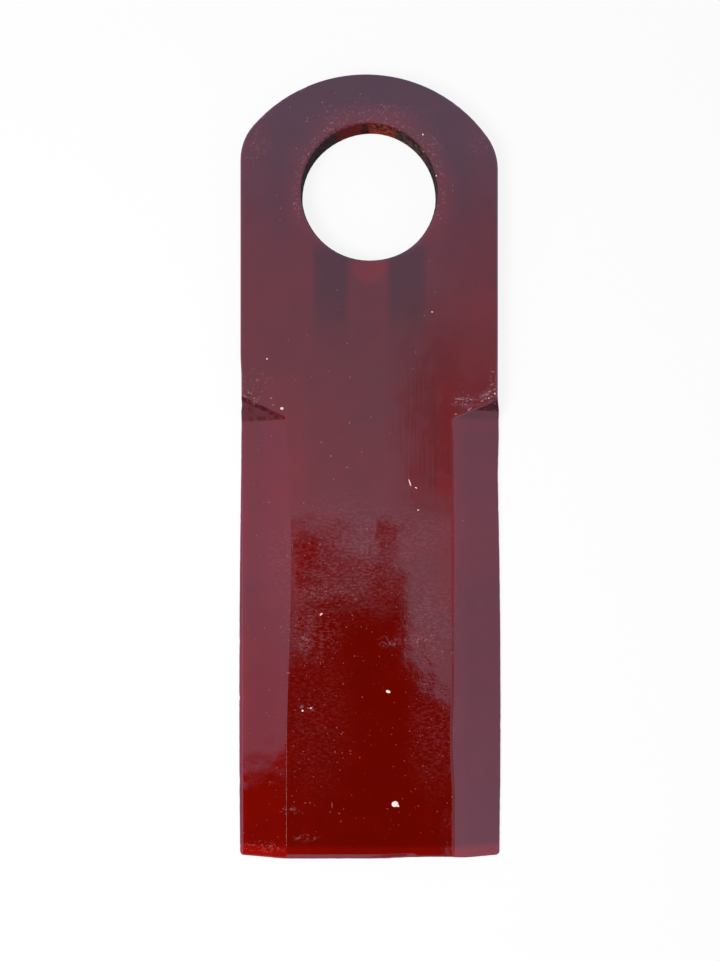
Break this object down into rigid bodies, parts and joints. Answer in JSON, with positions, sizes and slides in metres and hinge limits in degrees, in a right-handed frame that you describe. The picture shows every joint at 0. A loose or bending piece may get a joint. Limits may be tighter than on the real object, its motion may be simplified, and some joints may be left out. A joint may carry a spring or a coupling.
{
  "type": "straw chopper knife",
  "caption": "Flat steel chopper knife with a rounded head, a round pivot bore and a cutting bevel along each long side.",
  "frame": {"origin": "on the axis of the pivot bore, in the plane of the flat back", "axes": "+Z out of the bevelled front face, +Y along the blade towards the rounded head, +X towards the right-hand cutting edge seen from the front"},
  "size_m": [0.0516, 0.1524, 0.005],
  "materials": {
    "red_paint": "gloss"
  },
  "bodies": {
    "root": {"blade": "red_paint"}
  },
  "joints": []
}
